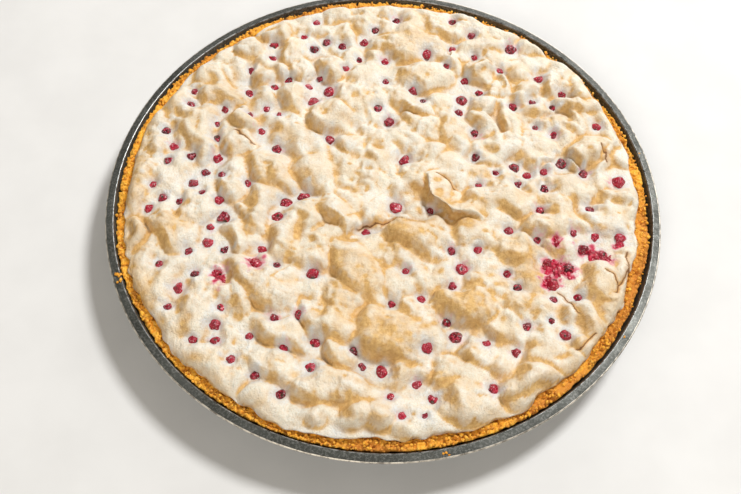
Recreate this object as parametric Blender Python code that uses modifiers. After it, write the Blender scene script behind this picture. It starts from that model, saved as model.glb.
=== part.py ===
"""A redcurrant meringue tart in the round tin that it was baked in.

A shallow dark tin holds a thick shortcrust shell. A baked meringue fills the shell and laps a little
over the top of its wall. Redcurrants lie sunk in the meringue, each in a dent of its own.
Sizes are in metres, +Z is up, and the origin is the middle of the tin's underside.
"""
import math
import random
from collections import namedtuple

import bmesh
import bpy
import numpy as np
from mathutils import Matrix, Vector
from mathutils.geometry import delaunay_2d_cdt

# Driving dimensions of the tin
RIM_RADIUS = 0.160
TIN_HEIGHT = 0.025
TIN_BASE_RADIUS = 0.147
TIN_SHEET = 0.0009
TIN_CORNER = 0.004
TIN_STEPS = 56
FLANGE_WIDTH = 0.0049
FLANGE_DROP = 0.0016
EDGE_BEAD = 0.0006

# Driving dimensions of the crust
GAP = 0.0004
RING_STEPS = 84
CRUST_BASE = 0.0048
CRUST_TOP = 0.0241
CRUST_UNEVEN = 0.0005
CRUST_TIGHT_GAP = 0.0006
CRUST_LOOSE_GAP = 0.0014
CRUST_LOOSE_SIDE = 30.0
CRUST_LIP = 0.0010
CRUST_INNER_LEAN = 0.0035

# Driving dimensions of the meringue
MERINGUE_RADIUS = 0.1484
MERINGUE_LEVEL = 0.0284
MERINGUE_DOME = 0.0016
EDGE_WAVE = 0.0009
LAP = 0.0030
SHOULDER = 0.0066
SHOULDER_UNEVEN = 0.22
EDGE_LIFT = 0.0009
HOLLOW_FLOOR = -0.0026
MOUND_BLEND = 0.0006
SMALL_MOUND_SPACING = 0.0125
SMALL_MOUND_LENGTH = (0.024, 0.040)
SMALL_MOUND_SHARE = (0.62, 0.92)
SMALL_MOUND_HEIGHT = (0.0012, 0.0042)
SLUMP = 0.45
SLUMP_WAY = (-0.6, -0.8)
OUTLINE_BEND = 0.0016
ROUGHNESS = 0.00045
LATTICE = 0.0072
SHOULDER_RINGS = (0.22, 0.58, 1.0)

# Driving dimensions of the currants
LARGE_RADIUS = (0.0035, 0.0042)
SMALL_RADIUS = (0.0026, 0.0034)
LARGE_SINK = (0.08, 0.32)
SMALL_SINK = (0.18, 0.42)
SMALL_CURRANTS = 118
CURRANT_SPACING = 0.0094
CURRANT_REACH = 0.140
DENT_DEPTH = 1.05
DENT_WIDTH = 1.50
SEPARATE_CURRANTS = 52
BARE_MIDDLE = 0.050
PIT_SIDES = 8
PIT_FLOOR_DEPTH = 1.45
PIT_WALL_DEPTH = 0.55
PIT_WALL_LEAN = 0.9
PIT_ROOM = 0.0013
DENT_ROOM = 0.0036

# How far the meringue's edge is shifted: the side in degrees, the spread in degrees and the shift
EDGE_SHIFTS = [(355.0, 22.0, -0.0026), (45.0, 18.0, 0.0020), (100.0, 40.0, -0.0020), (222.0, 26.0, 0.0014),
               (265.0, 20.0, 0.0008), (320.0, 14.0, -0.0006)]

Mound = namedtuple("Mound", "x y length width turn height")
Ridge = namedtuple("Ridge", "path left right height")
Currant = namedtuple("Currant", "x y radius sink")
Filling = namedtuple("Filling", "mounds currants")

# The mounds of the meringue that stand out: place, length, width, turn in degrees, height
LARGE_MOUNDS = [
    Mound(-0.014, -0.057, 0.056, 0.034, -60, 0.0072),
    Mound(0.004, -0.094, 0.060, 0.036, -10, 0.0082),
    Mound(-0.067, -0.061, 0.066, 0.028, -33, 0.0058),
    Mound(-0.056, -0.092, 0.054, 0.022, -25, 0.0052),
    Mound(-0.091, -0.112, 0.056, 0.024, -38, 0.0052),
    Mound(-0.028, -0.122, 0.060, 0.024, -10, 0.0052),
    Mound(-0.119, -0.031, 0.040, 0.026, -40, 0.0052),
    Mound(-0.040, 0.008, 0.042, 0.026, -50, 0.0050),
    Mound(-0.028, -0.018, 0.052, 0.024, -50, 0.0058),
    Mound(-0.030, -0.086, 0.038, 0.028, -30, 0.0062),
    Mound(0.045, -0.130, 0.042, 0.032, -15, 0.0058),
    Mound(0.045, -0.074, 0.044, 0.028, 0, 0.0070),
    Mound(0.016, -0.031, 0.056, 0.028, -20, 0.0066),
    Mound(0.068, -0.004, 0.048, 0.028, -12, 0.0058),
    Mound(0.094, -0.020, 0.046, 0.026, 5, 0.0054),
    Mound(0.118, 0.029, 0.040, 0.028, 8, 0.0064),
    Mound(0.116, 0.066, 0.036, 0.022, 8, 0.0056),
    Mound(0.012, 0.111, 0.060, 0.036, -10, 0.0056),
    Mound(-0.113, 0.038, 0.056, 0.026, -78, 0.0054),
    Mound(-0.088, 0.047, 0.021, 0.020, 0, 0.0066),
    Mound(-0.104, 0.068, 0.048, 0.022, -8, 0.0050),
    Mound(0.122, -0.056, 0.044, 0.028, 30, 0.0052),
    Mound(0.078, -0.119, 0.052, 0.026, 15, 0.0058),
    Mound(-0.005, -0.136, 0.044, 0.022, 0, 0.0050),
    Mound(-0.035, 0.053, 0.040, 0.028, -15, 0.0056),
    Mound(0.020, 0.085, 0.044, 0.028, -10, 0.0052),
    Mound(-0.066, 0.012, 0.044, 0.026, -35, 0.0048),
]

# Folds that stand up and creases that cut in: a path, the width on its left and right, the height
RIDGES = [
    Ridge([(0.025, 0.012), (0.029, -0.003), (0.041, -0.013), (0.057, -0.017)], 0.0080, 0.0015, 0.0064),
    Ridge([(0.017, 0.008), (0.020, -0.005), (0.029, -0.015), (0.042, -0.021)], 0.0045, 0.0050, -0.0026),
    Ridge([(0.050, -0.124), (0.068, -0.122), (0.085, -0.117), (0.100, -0.112)], 0.0060, 0.0018, 0.0026),
    Ridge([(0.050, 0.078), (0.052, 0.089), (0.060, 0.095), (0.069, 0.092), (0.073, 0.083), (0.069, 0.073)],
          0.0026, 0.0026, 0.0022),
    Ridge([(0.091, 0.055), (0.096, 0.061), (0.103, 0.062), (0.109, 0.058), (0.114, 0.053)],
          0.0012, 0.0030, -0.0026),
    Ridge([(0.105, 0.036), (0.111, 0.025), (0.120, 0.020), (0.128, 0.025), (0.132, 0.037)],
          0.0026, 0.0016, -0.0032),
    Ridge([(0.044, 0.116), (0.040, 0.109), (0.039, 0.102)], 0.0014, 0.0014, -0.0036),
    Ridge([(0.103, 0.038), (0.096, 0.026), (0.092, 0.013), (0.090, 0.002)], 0.0024, 0.0014, -0.0024),
    Ridge([(-0.020, -0.031), (-0.008, -0.026), (0.003, -0.021), (0.022, -0.020)], 0.0030, 0.0014, -0.0036),
    Ridge([(0.067, 0.068), (0.065, 0.058), (0.067, 0.051), (0.069, 0.044)], 0.0020, 0.0016, -0.0040),
    Ridge([(-0.103, 0.045), (-0.096, 0.050), (-0.091, 0.055)], 0.0012, 0.0012, -0.0025),
]

# The places of the largest currants, in millimetres
LARGE_CURRANTS = [
    (-46, 107), (-35, 75), (-44, 65), (-33, 38), (-64, 30), (-98, 22), (-111, 4), (-91, -19),
    (-56, -8), (-46, -3), (-60, -18), (-38, -55), (-70, -50), (-91, -56), (-111, -65), (-36, -111),
    (1, -111), (24, -98), (40, -90), (44, -48), (25, 105), (2, 52), (46, 70), (78, 112),
    (12, 24), (76, 21), (104, 25), (137, 13), (77, 66), (7, -9), (99, -87), (134, -26),
    (92, -43), (103, -46), (94, -56), (113, -33), (123, -37), (59, -120), (-98, -36), (-89, -87),
]
MILLIMETRE = 0.001

Finish = namedtuple("Finish", "colour roughness metallic")
TIN_FINISH = Finish((0.075, 0.085, 0.082), 0.42, 0.6)
CRUST_FINISH = Finish((0.68, 0.34, 0.09), 0.85, 0.0)
MERINGUE_FINISH = Finish((0.82, 0.68, 0.48), 0.70, 0.0)
CURRANT_FINISH = Finish((0.42, 0.012, 0.035), 0.25, 0.0)


def ripples(x, y, longest, shortest, seed, count=14):
    """A soft uneven field of unit strength, the sum of plane waves in random directions."""
    draw = random.Random(seed)
    total = np.zeros_like(x)
    for _ in range(count):
        heading = draw.uniform(0, math.tau)
        length = shortest * (longest / shortest) ** draw.random()
        phase = draw.uniform(0, math.tau)
        along = x * math.cos(heading) + y * math.sin(heading)
        total += np.sin(along * math.tau / length + phase)
    return total * math.sqrt(2 / count)


def waves_round(angle, fewest, most, seed):
    """An uneven line of unit strength that closes on itself once round the tart."""
    draw = random.Random(seed)
    total = np.zeros_like(angle)
    for number in range(fewest, most + 1):
        total += np.sin(number * angle + draw.uniform(0, math.tau))
    return total * math.sqrt(2 / (most + 1 - fewest))


def edge_radius(angle):
    """The outline of the meringue, which spreads further over the crust at some sides than at others."""
    radius = MERINGUE_RADIUS + EDGE_WAVE * waves_round(angle, 5, 30, 31)
    for side, spread, shift in EDGE_SHIFTS:
        turn = (np.degrees(angle) - side + 180) % 360 - 180
        radius = radius + shift * np.exp(-(turn / spread) ** 2)
    return radius


def crust_top(angle):
    return CRUST_TOP + CRUST_UNEVEN * waves_round(angle, 5, 26, 32)


def tin_wall_radius(height):
    """The inner radius of the tin's sloping wall."""
    slope = (RIM_RADIUS - FLANGE_WIDTH - TIN_BASE_RADIUS) / TIN_HEIGHT
    return TIN_BASE_RADIUS + slope * height


def crust_gap(angle):
    """The room between the crust and the tin, wider on the side where the crust has shrunk."""
    loose = 0.5 + 0.5 * np.cos(angle - math.radians(CRUST_LOOSE_SIDE))
    return CRUST_TIGHT_GAP + (CRUST_LOOSE_GAP - CRUST_TIGHT_GAP) * loose


def scatter(draw, candidates, reach, spacing, taken, worth):
    """Places in a disc that keep their spacing, the worthiest of the random candidates first."""
    radius = reach * np.sqrt([draw.random() for _ in range(candidates)])
    angle = np.array([draw.uniform(0, math.tau) for _ in range(candidates)])
    x, y = radius * np.cos(angle), radius * np.sin(angle)
    places = list(taken)
    found = []
    for index in np.argsort(-worth(x, y)):
        place = (float(x[index]), float(y[index]))
        if all(math.dist(place, other) > spacing for other in places):
            places.append(place)
            found.append(place)
    return found


def small_mounds(large_currants):
    """The small mounds between the large ones, a little apart and clear of the large currants."""
    draw = random.Random(7)
    taken = list(large_currants)
    for mound in LARGE_MOUNDS:
        turn = math.radians(mound.turn)
        for share in (-0.28, 0, 0.28):
            reach = mound.length * share
            taken.append((mound.x + reach * math.cos(turn), mound.y + reach * math.sin(turn)))
    mounds = []
    for x, y in scatter(draw, 4000, MERINGUE_RADIUS, SMALL_MOUND_SPACING, taken, lambda x, y: 0 * x):
        length = draw.uniform(*SMALL_MOUND_LENGTH)
        width = length * draw.uniform(*SMALL_MOUND_SHARE)
        turn = -40 + 250 * x + draw.gauss(0, 30)
        mounds.append(Mound(x, y, length, width, turn, draw.uniform(*SMALL_MOUND_HEIGHT)))
    return mounds


def mound_height(x, y, mound):
    """A pillow that falls off round its middle, steepest on the side that the mounds slump towards."""
    turn = math.radians(mound.turn)
    dx, dy = x - mound.x, y - mound.y
    along = (dx * math.cos(turn) + dy * math.sin(turn)) / (mound.length / 2)
    across = (dy * math.cos(turn) - dx * math.sin(turn)) / (mound.width / 2)
    reach = (along * along + across * across) ** 1.05
    distance = np.hypot(dx, dy) + 1e-9
    steep = 1 + SLUMP * (dx * SLUMP_WAY[0] + dy * SLUMP_WAY[1]) / distance
    return mound.height - (mound.height - HOLLOW_FLOOR) * reach * steep


def beside_path(x, y, path):
    """The distance to a path, a number above 0 on its left, and the share of it passed, from 0 to 1."""
    heading_x, heading_y = np.gradient(np.array(path), axis=0).T
    nearest = np.full_like(x, np.inf)
    side = np.zeros_like(x)
    passed = np.zeros_like(x)
    for number, ((ax, ay), (bx, by)) in enumerate(zip(path, path[1:])):
        ex, ey = bx - ax, by - ay
        share = np.clip(((x - ax) * ex + (y - ay) * ey) / (ex * ex + ey * ey), 0, 1)
        dx, dy = x - ax - share * ex, y - ay - share * ey
        hx = heading_x[number] + share * (heading_x[number + 1] - heading_x[number])
        hy = heading_y[number] + share * (heading_y[number + 1] - heading_y[number])
        distance = np.hypot(dx, dy)
        closer = distance < nearest
        side = np.where(closer, hx * dy - hy * dx, side)
        passed = np.where(closer, (number + share) / (len(path) - 1), passed)
        nearest = np.minimum(nearest, distance)
    return nearest, side, passed


def mounds_height(x, y, mounds):
    """The meringue's mounds, folds and creases above its level, before the currants dent it."""
    bent_x = x + OUTLINE_BEND * ripples(x, y, 0.045, 0.016, 21)
    bent_y = y + OUTLINE_BEND * ripples(x, y, 0.045, 0.016, 22)
    total = np.full_like(x, math.exp(HOLLOW_FLOOR / MOUND_BLEND))
    for mound in mounds:
        height = np.maximum(mound_height(bent_x, bent_y, mound), 3 * HOLLOW_FLOOR)
        total += np.exp(height / MOUND_BLEND)
    height = MOUND_BLEND * np.log(total)
    height += ROUGHNESS * ripples(x, y, 0.040, 0.012, 23)
    for ridge in RIDGES:
        distance, side, passed = beside_path(bent_x, bent_y, ridge.path)
        width = np.where(side > 0, ridge.left, ridge.right)
        fade = np.minimum(1, 5 * passed * (1 - passed))
        height += ridge.height * fade * np.exp(-(distance / width) ** 2)
    return height


def make_filling():
    """Every mound, and every currant with the largest first; the small currants keep to the hollows."""
    draw = random.Random(11)
    large = [(x * MILLIMETRE, y * MILLIMETRE) for x, y in LARGE_CURRANTS]
    mounds = LARGE_MOUNDS + small_mounds(large)
    currants = [Currant(x, y, draw.uniform(*LARGE_RADIUS), draw.uniform(*LARGE_SINK)) for x, y in large]

    def low_and_outward(x, y):
        chance = np.array([draw.uniform(0, 0.0030) for _ in x])
        middle = 0.0030 * np.exp(-(x * x + y * y) / BARE_MIDDLE ** 2)
        return chance - middle - mounds_height(x, y, mounds)

    places = scatter(draw, 1500, CURRANT_REACH, CURRANT_SPACING, large, low_and_outward)
    small = [Currant(x, y, draw.uniform(*SMALL_RADIUS), draw.uniform(*SMALL_SINK))
             for x, y in places[:SMALL_CURRANTS]]
    small.sort(key=lambda currant: currant.radius * (1 - currant.sink), reverse=True)
    return Filling(mounds, currants + small)


def surface_height(x, y, filling):
    """The top of the meringue: mounds on a low dome, dents round currants, and a rounded edge."""
    height = mounds_height(x, y, filling.mounds)
    for currant in filling.currants:
        distance = np.hypot(x - currant.x, y - currant.y)
        height -= DENT_DEPTH * currant.radius * np.exp(-(distance / (DENT_WIDTH * currant.radius)) ** 2)
    from_middle = np.hypot(x, y)
    angle = np.arctan2(y, x)
    height += MERINGUE_LEVEL + MERINGUE_DOME * (1 - (from_middle / MERINGUE_RADIUS) ** 2)
    foot = crust_top(angle) + GAP + EDGE_LIFT
    height = np.logaddexp(height / MOUND_BLEND, (foot + EDGE_LIFT) / MOUND_BLEND) * MOUND_BLEND
    shoulder = SHOULDER * (1 + SHOULDER_UNEVEN * waves_round(angle, 6, 26, 33))
    inward = np.clip((edge_radius(angle) - from_middle) / shoulder, 0, 1)
    rounded = np.sqrt(1 - (1 - inward) ** 2)
    return foot + (height - foot) * rounded


def currant_centre(currant, filling):
    """The middle of a currant, sunk in its dent by its own share of its radius."""
    x, y = np.array([currant.x]), np.array([currant.y])
    surface = float(surface_height(x, y, filling)[0])
    return Vector((currant.x, currant.y, surface - currant.sink * currant.radius))


def make_material(name, finish):
    material = bpy.data.materials.new(name)
    material.use_nodes = True
    shader = material.node_tree.nodes["Principled BSDF"]
    shader.inputs["Base Color"].default_value = (*finish.colour, 1)
    shader.inputs["Roughness"].default_value = finish.roughness
    shader.inputs["Metallic"].default_value = finish.metallic
    material.diffuse_color = (*finish.colour, 1)
    return material


def add_object(name, mesh, collection, material=None):
    piece = bpy.data.objects.new(name, mesh)
    collection.objects.link(piece)
    if material:
        mesh.materials.append(material)
    return piece


def mesh_of(bm, name):
    """A mesh with its faces turned outward and shaded smooth."""
    bmesh.ops.recalc_face_normals(bm, faces=bm.faces)
    mesh = bpy.data.meshes.new(name)
    bm.to_mesh(mesh)
    bm.free()
    mesh.shade_smooth()
    return mesh


def ring(bm, angles, radii, heights):
    return [bm.verts.new((r * math.cos(a), r * math.sin(a), z)) for a, r, z in zip(angles, radii, heights)]


def bridge(bm, first, second):
    """A band of faces between two rings of the same number of points."""
    for index in range(len(first)):
        after = (index + 1) % len(first)
        bm.faces.new((first[index], first[after], second[after], second[index]))


def build_tin(collection):
    """The tin: a turned sheet with a flat base, a sloping wall and a drooping flange with a beaded edge."""
    wall_top = tin_wall_radius(TIN_HEIGHT)
    inner_bend = tin_wall_radius(TIN_SHEET + TIN_CORNER)
    edge_height = TIN_HEIGHT - FLANGE_DROP
    profile = [
        (0, TIN_SHEET),
        (TIN_BASE_RADIUS - TIN_CORNER, TIN_SHEET),
        (TIN_BASE_RADIUS - 0.2 * TIN_CORNER, TIN_SHEET + 0.25 * TIN_CORNER),
        (inner_bend, TIN_SHEET + TIN_CORNER),
        (wall_top - 0.4 * TIN_SHEET, TIN_HEIGHT - TIN_SHEET),
        (wall_top + 0.6 * TIN_SHEET, TIN_HEIGHT),
        (RIM_RADIUS - EDGE_BEAD, edge_height + EDGE_BEAD),
        (RIM_RADIUS, edge_height),
        (RIM_RADIUS - EDGE_BEAD, edge_height - 1.6 * EDGE_BEAD),
        (wall_top + 1.8 * TIN_SHEET, TIN_HEIGHT - 1.3 * TIN_SHEET),
        (inner_bend + TIN_SHEET, TIN_CORNER),
        (TIN_BASE_RADIUS + 0.1 * TIN_CORNER, 0.2 * TIN_CORNER),
        (TIN_BASE_RADIUS - 0.8 * TIN_CORNER, 0),
        (0, 0),
    ]
    bm = bmesh.new()
    points = [bm.verts.new((r, 0, z)) for r, z in profile]
    for first, second in zip(points, points[1:]):
        bm.edges.new((first, second))
    mesh = bpy.data.meshes.new("tin")
    bm.to_mesh(mesh)
    bm.free()
    tin = add_object("tin", mesh, collection, make_material("dark tin", TIN_FINISH))
    turn = tin.modifiers.new("turned", "SCREW")
    turn.steps = TIN_STEPS
    turn.render_steps = TIN_STEPS
    turn.use_merge_vertices = True
    turn.merge_threshold = 0.0001
    turn.use_smooth_shade = True


def build_crust(collection, angles):
    """The crust: a thick base and an uneven wall that stands away from the tin on one side."""
    gap = crust_gap(angles)
    top = crust_top(angles)
    inner = edge_radius(angles) - LAP
    base = TIN_SHEET + GAP
    bend = base + TIN_CORNER
    level = np.ones_like(angles)
    rings = [
        ((TIN_BASE_RADIUS - TIN_CORNER) * level - gap, base * level),
        (tin_wall_radius(bend) * level - gap, bend * level),
        (tin_wall_radius(top - CRUST_LIP) - gap, top - CRUST_LIP),
        (tin_wall_radius(top - CRUST_LIP) - gap - CRUST_LIP, top),
        (inner + 0.6 * CRUST_LIP, top),
        (inner, top - 0.8 * CRUST_LIP),
        (inner - CRUST_INNER_LEAN, (base + CRUST_BASE) * level),
    ]
    bm = bmesh.new()
    loops = [ring(bm, angles, radii, heights) for radii, heights in rings]
    bm.faces.new(reversed(loops[0]))
    for first, second in zip(loops, loops[1:]):
        bridge(bm, first, second)
    bm.faces.new(loops[-1])
    add_object("crust", mesh_of(bm, "crust"), collection, make_material("shortcrust", CRUST_FINISH))


def pit_reach(currant):
    """The radius of a pit's corners, so that its flat sides clear the currant."""
    return (currant.radius + GAP) / math.cos(math.pi / PIT_SIDES)


def pit_points(currant, centre):
    """The pit that a separate currant lies in: a ring at the surface, a deep ring and a bottom point."""
    corners = [math.tau * index / PIT_SIDES for index in range(PIT_SIDES)]
    rings = [(pit_reach(currant), None),
             (PIT_WALL_LEAN * pit_reach(currant), centre.z - PIT_WALL_DEPTH * currant.radius)]
    points = [(centre.x + reach * math.cos(a), centre.y + reach * math.sin(a), z)
              for reach, z in rings for a in corners]
    return points + [(centre.x, centre.y, centre.z - PIT_FLOOR_DEPTH * currant.radius)]


def lattice_points():
    """A plain triangular lattice over the meringue, inside its rounded edge."""
    points = []
    rows = int(MERINGUE_RADIUS / (LATTICE * math.sqrt(0.75))) + 1
    for row in range(-rows, rows + 1):
        y = row * LATTICE * math.sqrt(0.75)
        for column in range(-rows, rows + 1):
            x = (column + 0.5 * (row % 2)) * LATTICE
            if math.hypot(x, y) < edge_radius(np.array([math.atan2(y, x)]))[0] - 1.7 * SHOULDER:
                points.append((x, y))
    return points


def meringue_mesh(angles, filling, centres):
    """The bare meringue: its uneven top with pits, its rounded edge, its lap and its plain underside."""
    edge = edge_radius(angles)
    plan = [(r * math.cos(a), r * math.sin(a), None) for r, a in zip(edge, angles)]
    free = lattice_points()
    for share in SHOULDER_RINGS:
        inset = edge - share * SHOULDER
        free += [(r * math.cos(a), r * math.sin(a)) for r, a in zip(inset, angles)]
    separate = filling.currants[:SEPARATE_CURRANTS]
    fused = filling.currants[SEPARATE_CURRANTS:]
    kept_clear = [((currant.x, currant.y), pit_reach(currant) + PIT_ROOM) for currant in separate]
    kept_clear += [((currant.x, currant.y), DENT_ROOM) for currant in fused]
    for x, y in free:
        if all(math.dist((x, y), centre) > room for centre, room in kept_clear):
            plan.append((x, y, None))
    plan += [(currant.x, currant.y, None) for currant in fused]
    for currant, centre in zip(separate, centres):
        plan += pit_points(currant, centre)
    x = np.array([point[0] for point in plan])
    y = np.array([point[1] for point in plan])
    surface = surface_height(x, y, filling)
    heights = [z if point[2] is None else point[2] for point, z in zip(plan, surface)]
    outline = [list(range(RING_STEPS))]
    flat = [Vector((px, py)) for px, py in zip(x, y)]
    _, _, faces, originals, _, _ = delaunay_2d_cdt(flat, [], outline, 1, 1e-7)

    bm = bmesh.new()
    verts = [bm.verts.new((px, py, pz)) for px, py, pz in zip(x, y, heights)]
    for face in faces:
        bm.faces.new([verts[originals[corner][0]] for corner in face])
    under = crust_top(angles) + GAP
    inner = edge - LAP - GAP
    bottom = TIN_SHEET + GAP + CRUST_BASE + GAP
    loops = [
        verts[:RING_STEPS],
        ring(bm, angles, edge - 0.5 * EDGE_LIFT, under),
        ring(bm, angles, inner, under),
        ring(bm, angles, inner - CRUST_INNER_LEAN, np.full_like(angles, bottom)),
    ]
    for first, second in zip(loops, loops[1:]):
        bridge(bm, first, second)
    bm.faces.new(loops[-1])
    return mesh_of(bm, "meringue")


def currant_mesh(currant, centre, segments, rings, turn):
    bm = bmesh.new()
    place = Matrix.Translation(centre) @ Matrix.Rotation(turn, 4, "Z")
    bmesh.ops.create_uvsphere(bm, u_segments=segments, v_segments=rings, radius=currant.radius,
                              matrix=place)
    return mesh_of(bm, "currant")


def fuse(body, pieces):
    """Joins every object of a collection to a body, and removes them and the collection."""
    join = body.modifiers.new("fused currants", "BOOLEAN")
    join.operation = "UNION"
    join.operand_type = "COLLECTION"
    join.collection = pieces
    join.solver = "EXACT"
    evaluated = body.evaluated_get(bpy.context.evaluated_depsgraph_get())
    mesh = bpy.data.meshes.new_from_object(evaluated)
    body.modifiers.clear()
    body.data = mesh
    for piece in list(pieces.objects):
        bpy.data.objects.remove(piece)
    bpy.data.collections.remove(pieces)


def build_meringue(collection, angles, filling):
    """The meringue with pits for the larger currants and the smaller ones fused to it."""
    draw = random.Random(41)
    red = make_material("redcurrant", CURRANT_FINISH)
    centres = [currant_centre(currant, filling) for currant in filling.currants]
    mesh = meringue_mesh(angles, filling, centres)
    meringue = add_object("meringue", mesh, collection, make_material("meringue", MERINGUE_FINISH))
    small = bpy.data.collections.new("fused currants")
    bpy.context.scene.collection.children.link(small)
    for number, (currant, centre) in enumerate(zip(filling.currants, centres), start=1):
        turn = draw.uniform(0, math.tau)
        if number <= SEPARATE_CURRANTS:
            mesh = currant_mesh(currant, centre, 7, 4, turn)
            add_object(f"currant_{number:02d}", mesh, collection, red)
        else:
            add_object(f"fused_{number}", currant_mesh(currant, centre, 6, 4, turn), small)
    fuse(meringue, small)


def remove_everything():
    for piece in list(bpy.data.objects):
        bpy.data.objects.remove(piece, do_unlink=True)


def main():
    remove_everything()
    tart = bpy.data.collections.new("redcurrant meringue tart")
    bpy.context.scene.collection.children.link(tart)
    angles = np.arange(RING_STEPS) * math.tau / RING_STEPS
    build_tin(tart)
    build_crust(tart, angles)
    build_meringue(tart, angles, make_filling())


main()
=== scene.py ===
import random
from collections import namedtuple
from math import cos, dist, exp, hypot, pi, radians, sin, sqrt, tau

import bpy
import numpy as np
from mathutils import Matrix, Vector, noise


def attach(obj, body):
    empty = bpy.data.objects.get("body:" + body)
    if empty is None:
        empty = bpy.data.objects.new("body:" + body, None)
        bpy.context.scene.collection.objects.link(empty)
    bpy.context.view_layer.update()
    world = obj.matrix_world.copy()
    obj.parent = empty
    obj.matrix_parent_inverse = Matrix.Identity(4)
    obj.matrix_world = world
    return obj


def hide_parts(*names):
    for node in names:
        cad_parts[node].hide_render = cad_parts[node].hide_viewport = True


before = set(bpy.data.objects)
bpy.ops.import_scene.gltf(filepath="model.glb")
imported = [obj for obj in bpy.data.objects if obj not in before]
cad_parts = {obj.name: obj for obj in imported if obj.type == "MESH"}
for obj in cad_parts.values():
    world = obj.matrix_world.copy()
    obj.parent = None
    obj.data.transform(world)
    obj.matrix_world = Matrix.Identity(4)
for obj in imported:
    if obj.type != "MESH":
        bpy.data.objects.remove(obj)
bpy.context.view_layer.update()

# Sizes and shares that this script repeats from the solids, in metres
RIM_RADIUS = 0.160
TIN_HEIGHT = 0.025
TIN_BASE_RADIUS = 0.147
TIN_SHEET = 0.0009
TIN_CORNER = 0.004
FLANGE_WIDTH = 0.0049
FLANGE_DROP = 0.0016
EDGE_BEAD = 0.0006
GAP = 0.0004
CRUST_BASE = 0.0048
CRUST_TOP = 0.0241
CRUST_UNEVEN = 0.0005
CRUST_TIGHT_GAP = 0.0006
CRUST_LOOSE_GAP = 0.0014
CRUST_LOOSE_SIDE = 30.0
CRUST_LIP = 0.0010
CRUST_INNER_LEAN = 0.0035
MERINGUE_RADIUS = 0.1484
MERINGUE_LEVEL = 0.0284
MERINGUE_DOME = 0.0016
EDGE_WAVE = 0.0009
LAP = 0.0030
SHOULDER = 0.0066
SHOULDER_UNEVEN = 0.22
EDGE_LIFT = 0.0009
HOLLOW_FLOOR = -0.0026
MOUND_BLEND = 0.0006
SMALL_MOUND_SPACING = 0.0125
SMALL_MOUND_LENGTH = (0.024, 0.040)
SMALL_MOUND_SHARE = (0.62, 0.92)
SMALL_MOUND_HEIGHT = (0.0012, 0.0042)
SLUMP = 0.45
SLUMP_WAY = (-0.6, -0.8)
OUTLINE_BEND = 0.0016
ROUGHNESS = 0.00045
LARGE_RADIUS = (0.0035, 0.0042)
SMALL_RADIUS = (0.0026, 0.0034)
LARGE_SINK = (0.08, 0.32)
SMALL_SINK = (0.18, 0.42)
SMALL_CURRANTS = 118
CURRANT_SPACING = 0.0094
CURRANT_REACH = 0.140
DENT_DEPTH = 1.05
DENT_WIDTH = 1.50
BARE_MIDDLE = 0.050
MM = 0.001

# How far the meringue's edge is shifted: side and spread in degrees, and the shift in metres
EDGE_SHIFTS = [(355, 22, -0.0026), (45, 18, 0.0020), (100, 40, -0.0020), (222, 26, 0.0014),
               (265, 20, 0.0008), (320, 14, -0.0006)]

Mound = namedtuple("Mound", "x y length width turn height")
Currant = namedtuple("Currant", "x y radius sink")
Filling = namedtuple("Filling", "mounds currants")
Burst = namedtuple("Burst", "x y along across turn lumps")
Fruit = namedtuple("Fruit", "centre radius tone flatness ball")

# The mounds that stand out, in millimetres: place, length, width, turn in degrees, height
LARGE_MOUNDS = [
    (-14, -57, 56, 34, -60, 7.2), (4, -94, 60, 36, -10, 8.2), (-67, -61, 66, 28, -33, 5.8),
    (-56, -92, 54, 22, -25, 5.2), (-91, -112, 56, 24, -38, 5.2), (-28, -122, 60, 24, -10, 5.2),
    (-119, -31, 40, 26, -40, 5.2), (-40, 8, 42, 26, -50, 5), (-28, -18, 52, 24, -50, 5.8),
    (-30, -86, 38, 28, -30, 6.2), (45, -130, 42, 32, -15, 5.8), (45, -74, 44, 28, 0, 7),
    (16, -31, 56, 28, -20, 6.6), (68, -4, 48, 28, -12, 5.8), (94, -20, 46, 26, 5, 5.4),
    (118, 29, 40, 28, 8, 6.4), (116, 66, 36, 22, 8, 5.6), (12, 111, 60, 36, -10, 5.6),
    (-113, 38, 56, 26, -78, 5.4), (-88, 47, 21, 20, 0, 6.6), (-104, 68, 48, 22, -8, 5),
    (122, -56, 44, 28, 30, 5.2), (78, -119, 52, 26, 15, 5.8), (-5, -136, 44, 22, 0, 5),
    (-35, 53, 40, 28, -15, 5.6), (20, 85, 44, 28, -10, 5.2), (-66, 12, 44, 26, -35, 4.8),
]

# Folds, and creases with a height below 0, in millimetres: path, width on its left and right, height
RIDGES = [
    ([(25, 12), (29, -3), (41, -13), (57, -17)], 8, 1.5, 6.4),
    ([(17, 8), (20, -5), (29, -15), (42, -21)], 4.5, 5, -2.6),
    ([(50, -124), (68, -122), (85, -117), (100, -112)], 6, 1.8, 2.6),
    ([(50, 78), (52, 89), (60, 95), (69, 92), (73, 83), (69, 73)], 2.6, 2.6, 2.2),
    ([(91, 55), (96, 61), (103, 62), (109, 58), (114, 53)], 1.2, 3, -2.6),
    ([(105, 36), (111, 25), (120, 20), (128, 25), (132, 37)], 2.6, 1.6, -3.2),
    ([(44, 116), (40, 109), (39, 102)], 1.4, 1.4, -3.6),
    ([(103, 38), (96, 26), (92, 13), (90, 2)], 2.4, 1.4, -2.4),
    ([(-20, -31), (-8, -26), (3, -21), (22, -20)], 3, 1.4, -3.6),
    ([(67, 68), (65, 58), (67, 51), (69, 44)], 2, 1.6, -4),
    ([(-103, 45), (-96, 50), (-91, 55)], 1.2, 1.2, -2.5),
]

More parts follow.
